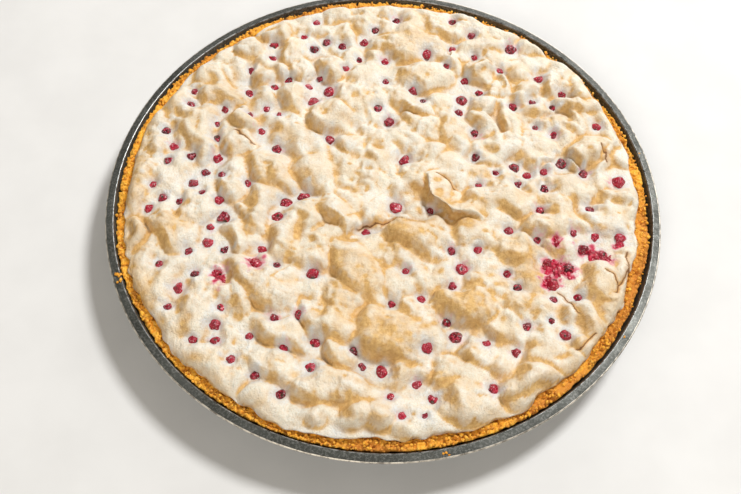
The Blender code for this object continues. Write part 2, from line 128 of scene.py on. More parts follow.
# Places of the currants that stand out, in millimetres
LARGE_CURRANTS = [
    (-46, 107), (-35, 75), (-44, 65), (-33, 38), (-64, 30), (-98, 22), (-111, 4), (-91, -19),
    (-56, -8), (-46, -3), (-60, -18), (-38, -55), (-70, -50), (-91, -56), (-111, -65), (-36, -111),
    (1, -111), (24, -98), (40, -90), (44, -48), (25, 105), (2, 52), (46, 70), (78, 112),
    (12, 24), (76, 21), (104, 25), (137, 13), (77, 66), (7, -9), (99, -87), (134, -26),
    (92, -43), (103, -46), (94, -56), (113, -33), (123, -37), (59, -120), (-98, -36), (-89, -87),
]

# Fine cracks in the meringue's dried skin, in millimetres: path, width and depth
CRACKS = [
    ([(95, -59), (100, -63), (102, -67), (105, -72), (107.5, -79)], 1.2, 1.6),
    ([(-100, 48), (-94, 51), (-90, 57), (-85, 57)], 0.9, 1.8),
    ([(-90, 40), (-84, 37), (-80, 32), (-76, 31)], 0.8, 1.4),
    ([(-18, -27), (-6, -22), (6, -19), (24, -19)], 1.2, 1.8),
    ([(128, 37), (131, 30), (130, 24)], 0.8, 1.4), ([(126, -64), (132, -55), (136, -46)], 0.9, 1.6),
    ([(28, 13), (34, 11), (39.5, 5), (42, 1)], 1.4, 1.4),
    ([(121, -48), (127, -52), (130, -58)], 0.8, 1.2), ([(137, -34), (136, -44), (139, -53)], 0.9, 1.4),
    ([(103, -98), (109, -92), (117, -86)], 0.9, 1.2),
]

# Patches that the oven browned most, and at (20, 0), (26, -2), (33, -12) and (47, -20) a painted shade in
# the hollow beside the tall fold: place and reach in millimetres, and strength
BROWN_AND_SHADE_PATCHES = [
    (80, -52, 16, 0.9), (10, -28, 13, 0.8), (45, -73, 13, 0.9), (-98, 66, 10, 0.5), (20, 112, 14, 0.35),
    (46, 44, 6, 0.6), (4, -98, 20, 0.7), (20, 0, 6, 0.8), (60, 15, 7, 0.7), (-62, 4, 8, 0.5),
    (-16, -60, 18, 0.4), (92, 3, 10, 0.5), (33, -117, 4, 1.0), (-123, -28, 10, 0.4), (98, 60, 12, 0.4),
    (26, -2, 6, 1.1), (33, -12, 6, 0.9), (47, -20, 6, 0.8),
]

# Currants that left juice on the meringue: place in millimetres, and strength
STAINS = [
    (-70, -50, 0.8), (-89, -62, 0.6), (-35, 75, 0.4), (104, 25, 0.4), (44, -48, 0.5), (57, 43, 0.4),
    (134, 12, 0.5), (97, -31, 0.6), (-89, -53, 0.5), (-64, 30, 0.35), (2, 52, 0.35),
]

# Hollows full of torn skins and wet flesh, in millimetres: place, reach along and across, turn, lumps
BURSTS = [Burst(*numbers) for numbers in (
    (98, -46, 9.0, 5.0, -8, 62), (119, -37, 9.5, 3.6, -28, 40), (93, -55, 5.0, 3.4, 20, 18),
    (97, -31, 3.0, 2.2, 60, 7), (133, -30, 3.6, 2.4, 50, 10), (-70, -50, 4.2, 2.6, -15, 12),
    (-88, -60, 4.6, 2.2, -45, 10),
)]

# Crumbs on the tin's flange, in millimetres: place and size
FLANGE_CRUMBS = [
    (-146, -57, 1.4), (-144.8, -58, 1.2), (-147.2, -56.4, 0.9), (-143.9, -57.2, 1.2), (-143.6, -60.6, 1.2),
    (-145.2, -61.6, 1.0), (33, -154, 1.0), (34.5, -153.4, 0.9), (36, -154.5, 0.7), (131, -86, 0.8),
    (152, 36, 0.6),
]

# Stretches of the meringue's edge that browned: side and spread in degrees, inner radius and strength
TOASTED_EDGES = [(188, 34, 0.130, 0.5), (-40, 26, 0.132, 0.4)]

# The finer form that only the scene has
LATTICE = 305
EDGE_CROWDING = 0.5
EDGE_CROWDING_REACH = 0.03
EDGE_TATTER = 0.00040
GENTLE_SIDE = 226.0
GENTLE_SPREAD = 42.0
GENTLER_EDGE = 1.9
HIGHEST = 0.0384
TOP_BLEND = 0.0005
PUFF_HEIGHT = 0.00090
RIPPLE_HEIGHT = 0.00019
FINE_RIPPLE_HEIGHT = 0.00011
CRACK_WANDER = 0.0006
STAIN_WANDER = 0.0012
FOLD_LEAN = (-0.0022, -0.0027)
CRUST_STEPS = 1800
CRUST_WALL_RINGS = 6
CRUMB_DEPTH = 0.0030
LOOSE_CRUMBS = 1100
TURNING_STEPS = 288
WHOLE_FRUIT = 0.9

# The photograph's view: place in metres, elevation and roll in degrees
CAMERA_PLACE = (-0.00680, -0.32960, 0.52328)
CAMERA_ELEVATION = 59.375
CAMERA_ROLL = 1.7007

# Half the floor's side, and the place that the lights point at, in metres
FLOOR_HALF = 2.5
LIT_PLACE = (0, 0, 0.02)


def ripples(x, y, longest, shortest, seed, count=14):
    """A soft uneven field of unit strength, the sum of plane waves in random directions."""
    draw = random.Random(seed)
    total = np.zeros_like(x)
    for _ in range(count):
        heading = draw.uniform(0, tau)
        length = shortest * (longest / shortest) ** draw.random()
        phase = draw.uniform(0, tau)
        along = x * cos(heading) + y * sin(heading)
        total += np.sin(along * tau / length + phase)
    return total * sqrt(2 / count)


def waves_round(angle, fewest, most, seed):
    """An uneven line of unit strength that closes on itself once round the tart."""
    draw = random.Random(seed)
    total = np.zeros_like(angle)
    for number in range(fewest, most + 1):
        total += np.sin(number * angle + draw.uniform(0, tau))
    return total * sqrt(2 / (most + 1 - fewest))


def bell(share):
    """1 at 0, and less on both sides."""
    return np.exp(-share ** 2)


def nearness_round(angle, side, spread):
    """1 at one side of the tart and less away from it, for a side and a spread in degrees."""
    turn = (np.degrees(angle) - side + 180) % 360 - 180
    return bell(turn / spread)


def edge_radius(angle):
    radius = MERINGUE_RADIUS + EDGE_WAVE * waves_round(angle, 5, 30, 31)
    for side, spread, shift in EDGE_SHIFTS:
        radius = radius + shift * nearness_round(angle, side, spread)
    return radius


def crust_top(angle):
    return CRUST_TOP + CRUST_UNEVEN * waves_round(angle, 5, 26, 32)


def tin_wall_radius(height):
    slope = (RIM_RADIUS - FLANGE_WIDTH - TIN_BASE_RADIUS) / TIN_HEIGHT
    return TIN_BASE_RADIUS + slope * height


def crust_gap(angle):
    loose = 0.5 + 0.5 * np.cos(angle - radians(CRUST_LOOSE_SIDE))
    return CRUST_TIGHT_GAP + (CRUST_LOOSE_GAP - CRUST_TIGHT_GAP) * loose


def scatter(draw, candidates, reach, spacing, taken, worth):
    """Places in a disc that keep their spacing, the worthiest of the random candidates first."""
    radius = reach * np.sqrt([draw.random() for _ in range(candidates)])
    angle = np.array([draw.uniform(0, tau) for _ in range(candidates)])
    x, y = radius * np.cos(angle), radius * np.sin(angle)
    places = list(taken)
    found = []
    for index in np.argsort(-worth(x, y)):
        place = (float(x[index]), float(y[index]))
        if all(dist(place, other) > spacing for other in places):
            places.append(place)
            found.append(place)
    return found


def large_mounds():
    return [Mound(x * MM, y * MM, length * MM, width * MM, turn,
                  height * MM) for x, y, length, width, turn, height in LARGE_MOUNDS]


def small_mounds(large_currants):
    draw = random.Random(7)
    taken = list(large_currants)
    for mound in large_mounds():
        turn = radians(mound.turn)
        for share in (-0.28, 0, 0.28):
            reach = mound.length * share
            taken.append((mound.x + reach * cos(turn), mound.y + reach * sin(turn)))
    mounds = []
    for x, y in scatter(draw, 4000, MERINGUE_RADIUS, SMALL_MOUND_SPACING, taken, lambda x, y: 0 * x):
        length = draw.uniform(*SMALL_MOUND_LENGTH)
        width = length * draw.uniform(*SMALL_MOUND_SHARE)
        turn = -40 + 250 * x + draw.gauss(0, 30)
        mounds.append(Mound(x, y, length, width, turn, draw.uniform(*SMALL_MOUND_HEIGHT)))
    return mounds


def mound_height(x, y, mound):
    turn = radians(mound.turn)
    dx, dy = x - mound.x, y - mound.y
    along = (dx * cos(turn) + dy * sin(turn)) / (mound.length / 2)
    across = (dy * cos(turn) - dx * sin(turn)) / (mound.width / 2)
    reach = (along * along + across * across) ** 1.05
    distance = np.hypot(dx, dy) + 1e-9
    steep = 1 + SLUMP * (dx * SLUMP_WAY[0] + dy * SLUMP_WAY[1]) / distance
    return mound.height - (mound.height - HOLLOW_FLOOR) * reach * steep


def beside_path(x, y, path):
    """The distance to a path, a number above 0 on its left, and the share of it passed, from 0 to 1."""
    heading_x, heading_y = np.gradient(np.array(path), axis=0).T
    nearest = np.full_like(x, np.inf)
    side = np.zeros_like(x)
    passed = np.zeros_like(x)
    for number, ((ax, ay), (bx, by)) in enumerate(zip(path, path[1:])):
        ex, ey = bx - ax, by - ay
        share = np.clip(((x - ax) * ex + (y - ay) * ey) / (ex * ex + ey * ey), 0, 1)
        dx, dy = x - ax - share * ex, y - ay - share * ey
        hx = heading_x[number] + share * (heading_x[number + 1] - heading_x[number])
        hy = heading_y[number] + share * (heading_y[number + 1] - heading_y[number])
        distance = np.hypot(dx, dy)
        closer = distance < nearest
        side = np.where(closer, hx * dy - hy * dx, side)
        passed = np.where(closer, (number + share) / (len(path) - 1), passed)
        nearest = np.minimum(nearest, distance)
    return nearest, side, passed


def mounds_height(x, y, mounds):
    bent_x = x + OUTLINE_BEND * ripples(x, y, 0.045, 0.016, 21)
    bent_y = y + OUTLINE_BEND * ripples(x, y, 0.045, 0.016, 22)
    total = np.full_like(x, exp(HOLLOW_FLOOR / MOUND_BLEND))
    for mound in mounds:
        height = np.maximum(mound_height(bent_x, bent_y, mound), 3 * HOLLOW_FLOOR)
        total += np.exp(height / MOUND_BLEND)
    height = MOUND_BLEND * np.log(total)
    height += ROUGHNESS * ripples(x, y, 0.040, 0.012, 23)
    for path, left, right, rise in RIDGES:
        distance, side, passed = beside_path(bent_x / MM, bent_y / MM, path)
        fade = np.minimum(1, 5 * passed * (1 - passed))
        height += rise * MM * fade * bell(distance / np.where(side > 0, left, right))
    return height


def make_filling():
    """Every mound and every currant, as the solids have them."""
    draw = random.Random(11)
    large = [(x * MM, y * MM) for x, y in LARGE_CURRANTS]
    mounds = large_mounds() + small_mounds(large)
    currants = [Currant(x, y, draw.uniform(*LARGE_RADIUS), draw.uniform(*LARGE_SINK)) for x, y in large]

    def low_and_outward(x, y):
        chance = np.array([draw.uniform(0, 0.0030) for _ in x])
        middle = 0.0030 * np.exp(-(x * x + y * y) / BARE_MIDDLE ** 2)
        return chance - middle - mounds_height(x, y, mounds)

    places = scatter(draw, 1500, CURRANT_REACH, CURRANT_SPACING, large, low_and_outward)
    small = [Currant(x, y, draw.uniform(*SMALL_RADIUS), draw.uniform(*SMALL_SINK))
             for x, y in places[:SMALL_CURRANTS]]
    small.sort(key=lambda currant: currant.radius * (1 - currant.sink), reverse=True)
    return Filling(mounds, currants + small)


def surface_height(x, y, filling, fine=0.0):
    """The solid's top with a fine relief, and with a gentler edge at the front left."""
    height = mounds_height(x, y, filling.mounds)
    for currant in filling.currants:
        distance = np.hypot(x - currant.x, y - currant.y)
        height -= DENT_DEPTH * currant.radius * bell(distance / (DENT_WIDTH * currant.radius))
    from_middle = np.hypot(x, y)
    angle = np.arctan2(y, x)
    height += MERINGUE_LEVEL + MERINGUE_DOME * (1 - (from_middle / MERINGUE_RADIUS) ** 2) + fine
    foot = crust_top(angle) + GAP + EDGE_LIFT
    height = np.logaddexp(height / MOUND_BLEND, (foot + EDGE_LIFT) / MOUND_BLEND) * MOUND_BLEND
    shoulder = SHOULDER * (1 + SHOULDER_UNEVEN * waves_round(angle, 6, 26, 33))
    shoulder = shoulder * (1 + GENTLER_EDGE * nearness_round(angle, GENTLE_SIDE, GENTLE_SPREAD))
    inward = np.clip((edge_radius(angle) - from_middle) / shoulder, 0, 1)
    rounded = np.sqrt(1 - (1 - inward) ** 2)
    return foot + (height - foot) * rounded


def currant_centre(currant, filling):
    x, y = np.array([currant.x]), np.array([currant.y])
    surface = float(surface_height(x, y, filling)[0])
    return np.array([currant.x, currant.y, surface - currant.sink * currant.radius])


def smooth_step(value, low, high):
    share = np.clip((value - low) / (high - low), 0, 1)
    return share * share * (3 - 2 * share)


def show(name, data):
    """A new object with this data, in the scene."""
    thing = bpy.data.objects.new(name, data)
    bpy.context.scene.collection.objects.link(thing)
    return thing


def add_mesh(name, points, faces, material, attributes):
    """A smooth mesh object with one number for each point and attribute."""
    mesh = bpy.data.meshes.new(name)
    mesh.from_pydata(points.tolist(), [], faces)
    for key, values in attributes.items():
        layer = mesh.attributes.new(key, "FLOAT", "POINT")
        layer.data.foreach_set("value", np.asarray(values, dtype=np.float32))
    mesh.materials.append(material)
    mesh.shade_smooth()
    mesh.update()
    return show(name, mesh)


def loft_faces(rings, steps):
    """The faces between rings that close on themselves, ring after ring."""
    faces = []
    for ring in range(rings - 1):
        for step in range(steps):
            after = (step + 1) % steps
            faces.append((ring * steps + step, ring * steps + after,
                          (ring + 1) * steps + after, (ring + 1) * steps + step))
    return faces


def bind(piece, slot, *nodes):
    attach(piece, "root")
    if nodes:
        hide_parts(*nodes)


class Shading:
    """A material's node tree, with short calls for the nodes it is made of."""

    def __init__(self, name, inputs):
        self.material = bpy.data.materials.new(name)
        self.material.use_nodes = True
        self.tree = self.material.node_tree
        self.shader = self.tree.nodes["Principled BSDF"]
        self.fill(self.shader, inputs)
        self.place = self.node("ShaderNodeTexCoord", {}).outputs["Object"]

    def fill(self, node, inputs):
        """Sets or links a node's inputs, by name or number. One given as None stays as it is."""
        for key, source in inputs.items():
            target = node.inputs[key]
            if isinstance(source, (int, float)):
                target.default_value = source
            elif isinstance(source, tuple):
                target.default_value = (*source, 1)[:len(target.default_value)]
            elif source is not None:
                self.tree.links.new(source, target)

    def node(self, kind, inputs, **settings):
        made = self.tree.nodes.new(kind)
        for key, value in settings.items():
            setattr(made, key, value)
        self.fill(made, inputs)
        return made

    def attributes(self, *names):
        return [self.node("ShaderNodeAttribute", {}, attribute_name=name).outputs["Fac"] for name in names]

    def noise(self, size, detail=3.0, roughness=0.55, stretch=None):
        """Noise whose lumps are about size metres across, from 0 to 1."""
        place = self.place
        if stretch:
            inputs = {0: place, 1: stretch}
            place = self.node("ShaderNodeVectorMath", inputs, operation="MULTIPLY").outputs[0]
        inputs = {"Vector": place, "Scale": 1 / size, "Detail": detail, "Roughness": roughness}
        return self.node("ShaderNodeTexNoise", inputs).outputs["Fac"]

    def cells(self, size):
        inputs = {"Vector": self.place, "Scale": 1 / size}
        return self.node("ShaderNodeTexVoronoi", inputs).outputs["Distance"]

    def ramp(self, source, low, high, start=0.0, end=1.0):
        """Runs smoothly from start to end as the source goes from low to high."""
        inputs = {"Value": source, "From Min": low, "From Max": high, "To Min": start, "To Max": end}
        return self.node("ShaderNodeMapRange", inputs, interpolation_type="SMOOTHSTEP").outputs["Result"]

    def maths(self, operation, first, second=0.0):
        return self.node("ShaderNodeMath", {0: first, 1: second}, operation=operation).outputs[0]

    def times(self, first, second):
        return self.maths("MULTIPLY", first, second)

    def mix(self, share, first, second):
        return self.node("ShaderNodeMix", {0: share, 6: first, 7: second}, data_type="RGBA").outputs[2]

    def bump(self, source, height, before=None):
        """A bump of height metres from a source between 0 and 1."""
        inputs = {"Height": source, "Distance": height, "Strength": 1.0, "Normal": before}
        return self.node("ShaderNodeBump", inputs).outputs["Normal"]

    def finish(self, colour, roughness=None, normal=None):
        self.fill(self.shader, {"Base Color": colour, "Roughness": roughness, "Normal": normal})
        return self.material


def meringue_material():
    look = Shading("baked meringue", {"Roughness": 0.62})
    brown_and_shade, pale, stain, crack, beside = look.attributes("brown_and_shade", "pale", "stain", "crack", "beside_crack")
    cloud = look.noise(0.014, 4)
    grain = look.noise(0.0022, 4, 0.6)
    sand = look.noise(0.0010, 3, 0.7)
    colour = look.mix(look.ramp(cloud, 0.3, 0.72), (0.85, 0.785, 0.645), (0.880, 0.860, 0.785))
    tan = look.mix(look.ramp(grain, 0.3, 0.7), (0.62, 0.345, 0.105), (0.80, 0.525, 0.205))
    # This attribute's tan is real browning on the mound tops, and painted shade on steep sides, in clefts
    # and on slopes away from the window lamp.
    share = look.times(brown_and_shade, look.ramp(look.noise(0.0075, 4, 0.5), 0.30, 0.68, 0.70, 1.25))
    colour = look.mix(share, colour, tan)
    # The pale grey-blue of the hollows is unbrowned meringue and partly a painted shade.
    colour = look.mix(look.times(pale, 0.85), colour, (0.705, 0.745, 0.785))
    colour = look.mix(look.ramp(sand, 0.40, 0.66, 0, 0.28), colour, (0.70, 0.46, 0.22))
    # The freckles follow the same attribute, so they also gather where shade is painted.
    freckle = look.ramp(look.noise(0.0035, 2), 0.66, 0.74, 0, 0.5)
    colour = look.mix(look.times(freckle, brown_and_shade), colour, (0.56, 0.28, 0.07))
    pink = look.mix(look.ramp(stain, 0.25, 0.95), (0.80, 0.42, 0.46), (0.56, 0.015, 0.07))
    blotch = look.times(stain, look.ramp(look.noise(0.0028, 4, 0.65), 0.32, 0.62, 0.35, 1.35))
    colour = look.mix(look.ramp(blotch, 0.10, 0.60), colour, pink)
    wobble = look.ramp(look.noise(0.0016, 3, 0.7), 0, 1, -0.45, 0.45)
    line = look.maths("ABSOLUTE", look.maths("ADD", beside, wobble))
    # The dark core drawn along each crack is a painted shade inside it.
    crack_shade = look.times(look.ramp(line, 0.15, 0.70, 1, 0), look.ramp(crack, 0.25, 0.75))
    soft = look.times(look.ramp(line, 0.4, 2.4, 0.62, 0), crack)
    colour = look.mix(soft, colour, (0.68, 0.36, 0.11))
    colour = look.mix(crack_shade, colour, (0.22, 0.095, 0.026))
    pores = look.ramp(look.cells(0.0016), 0.12, 0.30)
    fine = look.maths("ADD", look.times(grain, 0.8), look.times(pores, 0.12))
    wrinkle = look.noise(0.0045, 5, 0.6, stretch=(1.0, 0.55, 1.0))
    fine = look.maths("ADD", fine, look.times(sand, 0.7))
    normal = look.bump(fine, 0.00090, look.bump(wrinkle, 0.0013))
    shine = look.ramp(look.noise(0.006, 3), 0.3, 0.7, 0.56, 0.78)
    return look.finish(colour, shine, normal)


def crust_material():
    look = Shading("golden shortcrust", {"Roughness": 0.8})
    depth, crust_darkening = look.attributes("depth", "crust_darkening")
    coarse = look.noise(0.006, 4)
    grain = look.noise(0.0011, 4, 0.65)
    colour = look.mix(look.ramp(coarse, 0.32, 0.7), (0.92, 0.38, 0.022), (1.0, 0.52, 0.048))
    colour = look.mix(look.ramp(grain, 0.50, 0.70, 0, 0.65), colour, (1.0, 0.72, 0.200))
    colour = look.mix(look.ramp(grain, 0.30, 0.46, 0.55, 0), colour, (0.62, 0.22, 0.014))
    # This darkening browns the crust, and is held low at the front left as painted light.
    colour = look.mix(look.ramp(crust_darkening, 0.35, 0.95, 0, 0.8), colour, (0.64, 0.235, 0.032))
    # The clefts between crumbs are darkened: partly a browner crust, partly a painted shade.
    colour = look.mix(look.ramp(depth, 0.45, 0.95, 0, 0.5), colour, (0.60, 0.21, 0.025))
    normal = look.bump(grain, 0.0006, look.bump(look.cells(0.0015), 0.0004))
    return look.finish(colour, None, normal)


def tin_material():
    look = Shading("dark baking tin", {"Roughness": 0.42, "Metallic": 0.5})
    speckle = look.ramp(look.noise(0.0012, 4, 0.75), 0.46, 0.64)
    cloud = look.noise(0.03, 4)
    colour = look.mix(look.ramp(cloud, 0.35, 0.7), (0.046, 0.048, 0.041), (0.085, 0.089, 0.080))
    colour = look.mix(look.times(speckle, 0.38), colour, (0.33, 0.33, 0.31))
    scratch = look.ramp(look.noise(0.004, 3, 0.6, stretch=(0.12, 1.0, 1.0)), 0.68, 0.74, 0, 0.35)
    colour = look.mix(scratch, colour, (0.30, 0.32, 0.31))
    grease = look.ramp(look.noise(0.012, 5, 0.65), 0.58, 0.75, 0, 0.5)
    colour = look.mix(grease, colour, (0.055, 0.042, 0.026))
    gloss = look.ramp(look.noise(0.010, 4), 0.3, 0.7, 0.42, 0.62)
    normal = look.bump(look.noise(0.0009, 2, 0.6), 0.00008)
    return look.finish(colour, gloss, normal)


def corner_highlight_material():
    # The inner corner's lighter metal is a painted highlight along it.
    look = Shading("tin corner highlight", {"Roughness": 0.3, "Metallic": 0.8})
    metal_mottle = look.noise(0.0030, 4, 0.7)
    colour = look.mix(look.ramp(metal_mottle, 0.35, 0.65), (0.10, 0.10, 0.095), (0.30, 0.305, 0.30))
    return look.finish(colour, look.ramp(metal_mottle, 0.3, 0.7, 0.24, 0.42))


def bare_edge_and_highlight_material():
    # The bare edge is bare metal, and its light cream is partly a painted highlight.
    look = Shading("bare tin edge and highlight", {"Roughness": 0.35, "Metallic": 0.8})
    metal_mottle = look.noise(0.0035, 4, 0.65)
    colour = look.mix(look.ramp(metal_mottle, 0.35, 0.6), (0.30, 0.27, 0.23), (0.78, 0.72, 0.62))
    return look.finish(colour, look.ramp(metal_mottle, 0.3, 0.7, 0.30, 0.55))


def currant_material():
    look = Shading("baked redcurrant", {"Roughness": 0.22, "Specular IOR Level": 0.35,
                                        "Coat Weight": 0.40, "Coat Roughness": 0.08})
    tone, vein, tip = look.attributes("tone", "vein", "tip")
    mottle = look.noise(0.0016, 3, 0.6)
    colour = look.mix(look.ramp(tone, 0.0, 1.0), (0.046, 0.0015, 0.005), (0.32, 0.006, 0.024))
    colour = look.mix(look.ramp(tone, 1.0, 1.6), colour, (0.62, 0.008, 0.055))
    colour = look.mix(look.ramp(mottle, 0.46, 0.66, 0, 0.8), colour, (0.54, 0.014, 0.048))
    colour = look.mix(look.times(vein, 0.25), colour, (0.75, 0.12, 0.16))
    # Pale pink specks on the skins are painted highlights, glints off the wrinkled skin.
    speck = look.ramp(look.noise(0.0009, 2, 0.5), 0.61, 0.67, 0, 0.6)
    colour = look.mix(speck, colour, (0.86, 0.50, 0.56))
    colour = look.mix(tip, colour, (0.055, 0.022, 0.012))
    normal = look.bump(look.noise(0.0011, 3, 0.6), 0.00050)
    return look.finish(colour, look.ramp(mottle, 0.3, 0.7, 0.14, 0.30), normal)


def floor_material():
    look = Shading("pale floor", {"Roughness": 0.75})
    colour = look.mix(look.ramp(look.noise(0.05, 3), 0.3, 0.7), (0.72, 0.715, 0.705), (0.76, 0.755, 0.745))
    return look.finish(colour)


def disc_places():
    """A square lattice bent into a disc: its places, quads, and the places round its rim in order."""
    steps = np.linspace(-1, 1, LATTICE)
    a, b = np.meshgrid(steps, steps)
    wide = np.abs(a) > np.abs(b)
    safe_a, safe_b = [np.where(np.abs(along) < 1e-12, 1e-12, along) for along in (a, b)]
    reach = np.where(wide, a, b)
    angle = np.where(wide, pi / 4 * b / safe_a, pi / 2 - pi / 4 * a / safe_b)
    x, y = reach * np.cos(angle), reach * np.sin(angle)
    share = np.hypot(x, y)
    crowded = 1 - (1 - share) * (1 - EDGE_CROWDING * np.exp(-(1 - share) / EDGE_CROWDING_REACH))
    angle = np.arctan2(y, x)
    radius = crowded * (edge_radius(angle) + EDGE_TATTER * share ** 8 * waves_round(angle, 31, 110, 35))
    index = np.arange(LATTICE ** 2).reshape(LATTICE, -1)
    quads = np.stack([index[:-1, :-1], index[:-1, 1:], index[1:, 1:], index[1:, :-1]], axis=-1)
    rim = np.concatenate([index[0, :-1], index[:-1, -1], index[-1, :0:-1], index[:0:-1, 0]])
    return (radius * np.cos(angle)).ravel(), (radius * np.sin(angle)).ravel(), quads.reshape(-1, 4), rim


def softened(values, passes):
    """The lattice's values blurred over their neighbours."""
    level = values.reshape(LATTICE, -1)
    for _ in range(passes):
        padded = np.pad(level, 1, mode="edge")
        around = padded[:-2, 1:-1] + padded[2:, 1:-1] + padded[1:-1, :-2] + padded[1:-1, 2:]
        level = 0.5 * level + 0.125 * around
    return level.ravel()


def wrinkles(x, y, mounds):
    """Sharper mound sides, puffs and ripples, all too small for the solid."""
    calm = smooth_step(ripples(x, y, 0.060, 0.025, 51, 10), -0.8, 0.9)
    height = mounds_height(x, y, mounds)
    relief = 0.70 * np.clip(height - softened(height, 44), -0.0012, 0.0012)
    relief += 0.90 * np.clip(height - softened(height, 10), -0.0006, 0.0006)
    relief += PUFF_HEIGHT * (np.minimum(np.abs(ripples(x, y, 0.052, 0.026, 57, 16)), 1.6) - 0.7)
    relief += RIPPLE_HEIGHT * ripples(x, y, 0.011, 0.0055, 52, 20) * (0.4 + calm)
    relief += FINE_RIPPLE_HEIGHT * ripples(x, y, 0.0055, 0.0028, 53, 22) * (0.35 + 0.9 * calm)
    return relief


def split_skin(x, y):
    """How deep the cracks cut, how near one is, and the millimetres to it, below 0 on its right."""
    wander_x = x + CRACK_WANDER * ripples(x, y, 0.014, 0.005, 54)
    wander_y = y + CRACK_WANDER * ripples(x, y, 0.014, 0.005, 55)
    depth = np.zeros_like(x)
    nearness = np.zeros_like(x)
    beside = np.full_like(x, 1000)
    for path, width, cut in CRACKS:
        distance, side, passed = beside_path(wander_x / MM, wander_y / MM, path)
        fade = np.minimum(1, 8 * passed * (1 - passed))
        depth += cut * MM * fade * bell(distance / width)
        nearness = np.maximum(nearness, fade * bell(distance / 2.5))
        beside = np.where(distance < np.abs(beside), np.where(side > 0, distance, -distance), beside)
    return depth, nearness, beside


def currant_rims(x, y, currants):
    """A raised rim round each currant, higher on one side, and a dimple under it."""
    draw = random.Random(56)
    relief = np.zeros_like(x)
    for currant in currants:
        radius = currant.radius
        heading = draw.uniform(0, tau)
        dx, dy = x - currant.x, y - currant.y
        distance = np.hypot(dx, dy)
        toward = np.clip((dx * cos(heading) + dy * sin(heading)) / radius, -1, 1)
        rim = (0.10 + toward * draw.uniform(0, 0.30)) * radius
        relief += rim * bell((distance - 1.15 * radius) / (0.5 * radius))
        relief -= 0.30 * radius * np.exp(-(distance / (0.75 * radius)) ** 4)
    return relief


def burst_share(x, y, burst):
    """How far a place lies in a burst hollow: 1 in its middle and 0 well outside."""
    turn = radians(burst.turn)
    dx, dy = x - burst.x * MM, y - burst.y * MM
    along = (dx * cos(turn) + dy * sin(turn)) / (burst.along * MM)
    across = (dy * cos(turn) - dx * sin(turn)) / (burst.across * MM)
    return np.exp(-(along * along + across * across) ** 1.5)


def burst_depth(x, y):
    depth = np.zeros_like(x)
    for burst in BURSTS:
        depth = np.maximum(depth, 0.00036 * burst.across * burst_share(x, y, burst))
    return depth


def stain_strength(x, y, filling):
    """How far currant juice has reddened each place."""
    draw = random.Random(61)
    wander_x = x + STAIN_WANDER * ripples(x, y, 0.010, 0.004, 62)
    wander_y = y + STAIN_WANDER * ripples(x, y, 0.010, 0.004, 63)
    stain = np.zeros_like(x)
    for currant in filling.currants:
        strength = draw.uniform(0.05, 0.40)
        distance = np.hypot(wander_x - currant.x, wander_y - currant.y)
        stain = np.maximum(stain, strength * bell(distance / (1.45 * currant.radius)))
    for sx, sy, strength in STAINS:
        distance = np.hypot(wander_x - sx * MM, wander_y - sy * MM)
        stain = np.maximum(stain, strength * bell(distance / (0.0065 * strength ** 0.5)))
    for burst in BURSTS:
        stain = np.maximum(stain, 1.1 * burst_share(wander_x, wander_y, burst) ** 0.55)
    return stain


def slope_and_cleft(x, y, z):
    """How steep each place is, how far it falls to the front left, and how deep in a cleft it lies."""
    steps = [np.gradient(values.reshape(LATTICE, -1)) for values in (x, y, softened(z, 4))]
    (xb, xa), (yb, ya), (zb, za) = steps
    area = xa * yb - xb * ya
    area = np.where(np.abs(area) < 1e-9, 1e-9, area)
    slope_x = (za * yb - zb * ya) / area
    slope_y = (zb * xa - za * xb) / area
    steep = np.minimum(np.hypot(slope_x, slope_y), 2)
    forward = np.clip(0.88 * slope_x + 0.47 * slope_y, -2, 2)
    return steep.ravel(), forward.ravel(), softened(z, 9) - z


